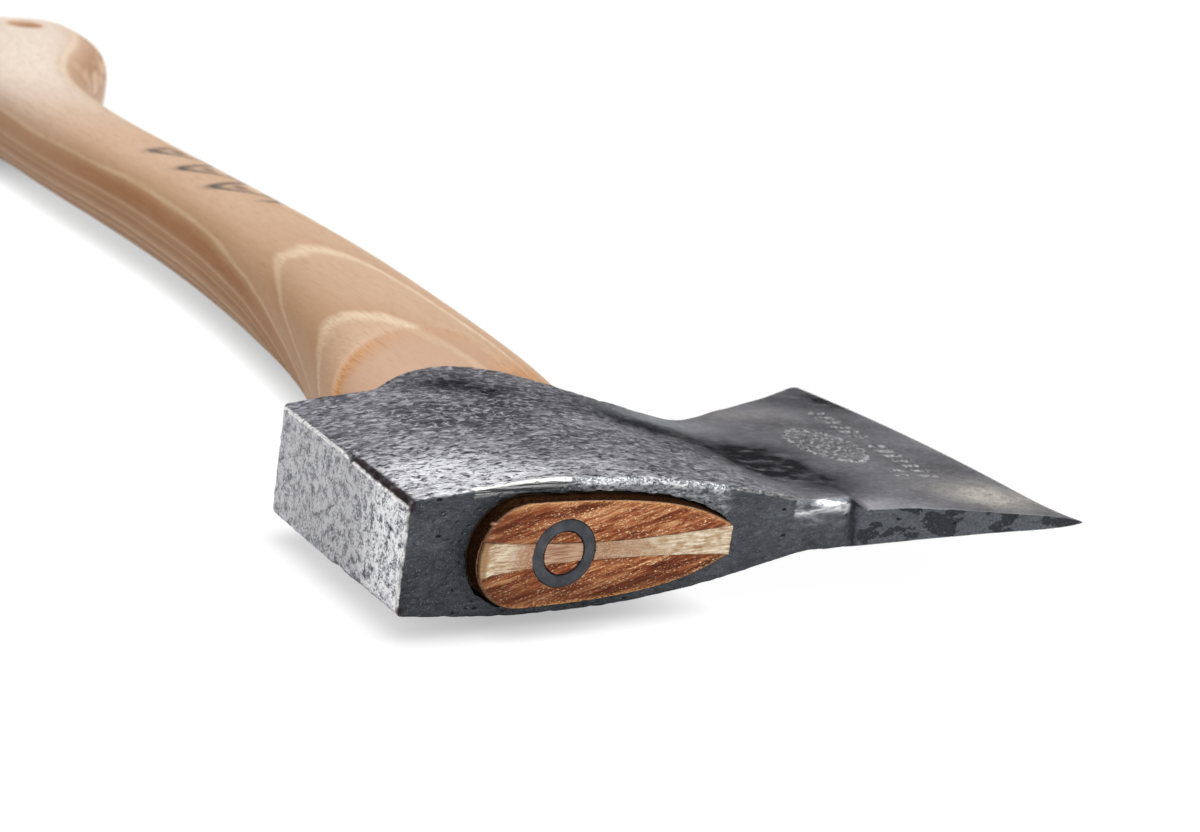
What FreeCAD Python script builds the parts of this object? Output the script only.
"""A small forged hatchet: steel head, curved hardwood handle, wooden eye wedge and steel ring wedge.

Millimetres. The hatchet lies on its cheek. +X runs from the poll to the cutting edge, +Y from the head
down the handle to the knob, and +Z up through the cheek. The origin is the centre of the poll's flat
striking face, and the tool is the same on both sides of the plane Z = 0.
"""
import FreeCAD, Part
import math
import os

# Side view of the head
POLL_HEIGHT = 47.8        # along Y, measured on the striking face
TOP_LENGTH = 88.0         # flat top of the head, from the poll to where the bit starts to rise
TOE_X = 134.4             # upper end of the cutting edge
TOE_RISE = 8.4            # how far the toe stands above the head's flat top
HEEL_X = 125.9            # lower end of the cutting edge
EDGE_LENGTH_Y = 77.8      # cutting edge, measured along Y
EDGE_CREST_X = 132.2      # X of the cutting edge where it runs parallel to Y
EDGE_CREST_Y = -16.0      # and the height of that place
EDGE_CURVE_POWER = 2.2    # how the edge falls back from there to the heel
TOE_FLARE_POWER = 3       # how it sweeps forward from there to the toe
LUG_START = 17.5          # X where the lower side leaves the poll's straight part
LUG_X = 40.4              # X of the lowest point of the lugs
LUG_DROP = 10.8           # how far the lugs hang below the poll
THROAT_X = 78.0           # X of the narrowest place between top and beard
THROAT_RISE = 1.6         # that place lies this far above the poll's lower corner
POLL_ROUND = 0.8          # rounding around the striking face

# Thickness of the head, as half thicknesses from the middle plane
EDGE_HALF = 0.15          # left on the cutting edge
BEVEL_HALF = 0.72         # added by the edge bevel
BEVEL_LENGTH = 3.0        # length over which the bevel fades in
WEDGE_SLOPE = 0.067       # gained for each millimetre back from the edge
SWELL_TOP = 4.05          # swelling of the cheek around the eye, at the head's top
SWELL_LOW = 4.5           # the same at the lugs
SWELL_LENGTH_TOP = 80.0   # the swelling runs from the poll to this X at the top
SWELL_LENGTH_LOW = 76.0   # and to this X at the lugs

# Eye
EYE_BACK = 11.3           # X of the poll end of the eye
EYE_FRONT = 61.0          # X of the flat front end of the eye
EYE_HALF = 9.3           # half width of the eye
EYE_TIP_HALF = 2.7        # half width of the eye's flat front end

# Wedges
TENON_PROUD = 2.65        # the wood stands this far out of the eye
WEDGE_DEPTH = 38.0
WEDGE_WAIST_X = 36.0      # the wooden wedge is thinnest here and thickens towards both ends
WEDGE_WAIST_HALF = 1.5
WEDGE_END_HALF = 2.8      # half thickness at the ends of the eye
WEDGE_TIP_RATIO = 0.2     # thickness at the deep end, as a share of the top
RING_X = 27.9
RING_OUTER = 5.85         # radii of the steel ring
RING_INNER = 3.8
RING_DEPTH = 9.0

# Handle
HANDLE_END = 344.0        # Y of the knob's butt
SECTION_POINTS = 20
LANYARD_RADIUS = 3.8
LANYARD_X = 60.3
LANYARD_Y = 325.5
# Y, centre X, half width in X, half thickness in Z, egg shape (0 is an even oval), superellipse power
HANDLE_SECTIONS = [
    (18.0, 36.2, 24.2, 9.0, 0.30, 2.5),
    (37.0, 41.2, 25.3, 9.4, 0.24, 2.5),
    (57.0, 45.4, 22.8, 10.4, 0.14, 2.5),
    (80.0, 48.2, 19.4, 11.2, 0.06, 2.5),
    (110.0, 50.4, 17.3, 11.4, 0.04, 2.5),
    (145.0, 51.1, 15.8, 11.0, 0.04, 2.5),
    (180.0, 49.8, 15.0, 10.5, 0.04, 2.5),
    (215.0, 47.4, 14.8, 10.3, 0.04, 2.5),
    (245.0, 45.7, 14.9, 10.3, 0.04, 2.5),
    (262.0, 45.6, 15.4, 10.6, 0.04, 2.5),
    (280.0, 46.0, 17.3, 11.7, 0.02, 2.6),
    (297.0, 49.9, 21.1, 13.2, 0.0, 2.7),
    (312.0, 55.2, 23.7, 14.2, 0.0, 2.8),
    (326.0, 59.2, 22.8, 14.1, 0.0, 2.8),
    (336.0, 60.9, 19.9, 12.5, 0.0, 2.8),
    (HANDLE_END - 3.0, 61.0, 17.0, 9.5, 0.0, 2.6),
    (HANDLE_END, 61.0, 12.0, 5.5, 0.0, 2.4),
]

TOP_Y = -POLL_HEIGHT / 2
LOW_Y = POLL_HEIGHT / 2
TOE_Y = TOP_Y - TOE_RISE
HEEL_Y = TOE_Y + EDGE_LENGTH_Y
WOOD_TOP_Y = TOP_Y - TENON_PROUD
BEYOND = 40.0             # how far cutting shapes reach past what they cut
PAST_EDGE = 12.0          # the same, in front of the cutting edge


def point(x, y, z=0.0):
    return FreeCAD.Vector(x, y, z)


def spline(points, periodic=False):
    """An edge through the points, closed on itself if periodic."""
    curve = Part.BSplineCurve()
    curve.interpolate(points, PeriodicFlag=periodic)
    return curve.toShape()


def prism(wire, along):
    return Part.Face(wire).extrude(along)


# Head

def edge_x(y):
    """X of the cutting edge at the height y: convex towards the heel, swept forward at the toe."""
    if y > EDGE_CREST_Y:
        below = (y - EDGE_CREST_Y) / (HEEL_Y - EDGE_CREST_Y)
        return EDGE_CREST_X - (EDGE_CREST_X - HEEL_X) * below ** EDGE_CURVE_POWER
    above = (EDGE_CREST_Y - y) / (EDGE_CREST_Y - TOE_Y)
    return EDGE_CREST_X + (TOE_X - EDGE_CREST_X) * above ** TOE_FLARE_POWER


def cheek_half(x, y):
    """Half thickness of the head: a thin wedge with the eye's swelling on it."""
    back = edge_x(y) - x
    wedge = EDGE_HALF + BEVEL_HALF * (1 - math.exp(-back / BEVEL_LENGTH)) + WEDGE_SLOPE * back
    low = min(max((y - TOP_Y) / POLL_HEIGHT, 0.0), 1.0)
    swell = SWELL_TOP + low * (SWELL_LOW - SWELL_TOP)
    length = SWELL_LENGTH_TOP + low * (SWELL_LENGTH_LOW - SWELL_LENGTH_TOP)
    inside = min(max(x / length, 0.0), 1.0)
    return wedge + swell * math.sin(math.pi * inside)


def head_section(y):
    """Closed outline of the head at the height y, from behind the poll to the cutting edge."""
    front = edge_x(y)
    stations = [-6.0, 6.0, 16.0, 27.0, 40.0, 52.0, 64.0, 76.0, 90.0, 106.0]
    stations += [front - 12.0, front - 5.0, front - 2.0, front]
    upper = [point(x, y, cheek_half(x, y)) for x in stations]
    lower = [point(p.x, y, -p.z) for p in upper]
    back = Part.makeLine(lower[0], upper[0])
    edge = Part.makeLine(upper[-1], lower[-1])
    return Part.Wire([back, spline(upper), edge, spline(lower[::-1])])


def side_outline():
    """Side view of the head: flat poll and top, raised toe, hanging lugs, throat and beard."""
    poll_top = point(0, TOP_Y)
    poll_low = point(0, LOW_Y)
    bit_start = point(TOP_LENGTH, TOP_Y)
    toe = point(TOE_X + PAST_EDGE, TOE_Y - PAST_EDGE * TOE_RISE / (TOE_X - TOP_LENGTH))
    lug_start = point(LUG_START, LOW_Y)
    lug = point(LUG_X, LOW_Y + LUG_DROP)
    throat = point(THROAT_X, LOW_Y - THROAT_RISE)
    heel = point(HEEL_X, HEEL_Y)
    past_heel = point(HEEL_X + PAST_EDGE, HEEL_Y + 0.7 * PAST_EDGE)
    lower_side = spline([lug_start, point(25.5, LOW_Y + 6.2), point(32.5, LOW_Y + 9.6), lug,
                         point(48.0, LOW_Y + 9.2), point(55.0, LOW_Y + 5.3), point(66.0, LOW_Y + 0.6),
                         throat, point(88.0, LOW_Y + 1.4), point(108.0, LOW_Y + 10.8), heel, past_heel])
    return Part.Wire([Part.makeLine(poll_low, poll_top), Part.makeLine(poll_top, bit_start),
                      Part.makeLine(bit_start, toe), Part.makeLine(toe, past_heel), lower_side,
                      Part.makeLine(lug_start, poll_low)])


def eye_outline():
    """The eye seen along Y: round at the poll, narrowing to a flat front."""
    shoulder = EYE_BACK + EYE_HALF
    length = EYE_FRONT - shoulder
    narrowing = EYE_HALF - EYE_TIP_HALF
    shares = [(0.0, 1.0), (0.3, 0.96), (0.54, 0.84), (0.74, 0.63), (0.9, 0.3), (1.0, 0.0)]
    upper = [point(shoulder + u * length, 0, EYE_TIP_HALF + w * narrowing) for u, w in shares]
    curve = Part.BSplineCurve()
    curve.interpolate(upper, InitialTangent=point(1, 0, 0), FinalTangent=point(0.9, 0, -0.44))
    side = curve.toShape()
    other_side = side.mirror(point(0, 0, 0), point(0, 0, 1))
    first_low = point(upper[0].x, 0, -upper[0].z)
    last_low = point(upper[-1].x, 0, -upper[-1].z)
    front = Part.makeLine(upper[-1], last_low)
    back = Part.Arc(first_low, point(EYE_BACK, 0, 0), upper[0]).toShape()
    return Part.Wire(Part.__sortEdges__([side, front, other_side, back]))


def eye_prism(start, end):
    """Solid with the eye's outline between two heights."""
    wire = eye_outline()
    wire.translate(point(0, start, 0))
    return prism(wire, point(0, end - start, 0))


def make_head():
    levels = [TOE_Y - 1.0, -28.0, TOP_Y, EDGE_CREST_Y, 0.0, LOW_Y, 35.0, HEEL_Y + 3.0]
    body = Part.makeLoft([head_section(y) for y in levels], True, False)
    outline = side_outline()
    outline.translate(point(0, 0, -BEYOND))
    body = body.common(prism(outline, point(0, 0, 2 * BEYOND)))
    poll_rim = [edge for edge in body.Edges if edge.BoundBox.XMax < POLL_ROUND]
    body = body.makeFillet(POLL_ROUND, poll_rim)
    return body.cut(eye_prism(TOP_Y - BEYOND, LOW_Y + BEYOND))


# Wedges

def wedge_section(y, share):
    """Outline of the wooden wedge at the depth y, thickened towards both ends of the eye."""
    reach = EYE_FRONT - WEDGE_WAIST_X
    flare = WEDGE_END_HALF - WEDGE_WAIST_HALF
    stations = [WEDGE_WAIST_X + step * reach for step in (-1.2, -0.6, 0.0, 0.6, 1.2)]
    upper = [point(x, y, share * (WEDGE_WAIST_HALF + flare * ((x - WEDGE_WAIST_X) / reach) ** 2))
             for x in stations]
    lower = [point(p.x, y, -p.z) for p in upper]
    return Part.Wire([spline(upper), Part.makeLine(upper[-1], lower[-1]), spline(lower[::-1]),
                      Part.makeLine(lower[0], upper[0])])


def make_wedge():
    """Hardwood wedge that spreads the tenon, as long as the eye."""
    tip_y = WOOD_TOP_Y + WEDGE_DEPTH
    blank = Part.makeLoft([wedge_section(WOOD_TOP_Y, 1.0), wedge_section(tip_y, WEDGE_TIP_RATIO)],
                          True, True)
    return blank.common(eye_prism(WOOD_TOP_Y, tip_y))


def make_ring():
    """Steel tube driven into the end grain, flush with the wood."""
    top = point(RING_X, WOOD_TOP_Y, 0)
    along = point(0, 1, 0)
    outer = Part.makeCylinder(RING_OUTER, RING_DEPTH, top, along)
    return outer.cut(Part.makeCylinder(RING_INNER, RING_DEPTH, top, along))


# Handle

def handle_section(y, centre, half_x, half_z, egg, power):
    """Closed superellipse across the handle, fuller towards the poll side if egg is above 0."""
    points = []
    for index in range(SECTION_POINTS):
        angle = 2 * math.pi * index / SECTION_POINTS
        across = math.cos(angle)
        up = math.sin(angle)
        x = math.copysign(abs(across) ** (2 / power), across)
        z = math.copysign(abs(up) ** (2 / power), up)
        points.append(point(centre + half_x * x, y, half_z * z * (1 - egg * x)))
    return Part.Wire([spline(points, periodic=True)])


def make_handle(head, wedge, ring):
    """Handle with its tenon fitted to the eye, split for the wedge and bored for a lanyard."""
    grip = Part.makeLoft([handle_section(*row) for row in HANDLE_SECTIONS], True, False)
    body = grip.fuse(eye_prism(WOOD_TOP_Y, LOW_Y)).cut(head)
    body = body.cut(wedge).cut(ring)
    lanyard_hole = Part.makeCylinder(LANYARD_RADIUS, 2 * BEYOND, point(LANYARD_X, LANYARD_Y, -BEYOND))
    return body.cut(lanyard_hole)


def main():
    head = make_head()
    ring = make_ring()
    wedge = make_wedge()
    handle = make_handle(head, wedge, ring)
    pieces = {"head": head, "handle": handle, "wood_wedge": wedge.cut(ring), "ring_wedge": ring}
    os.makedirs("parts", exist_ok=True)
    for name, shape in pieces.items():
        shape.exportStep("parts/" + name + ".step")


main()
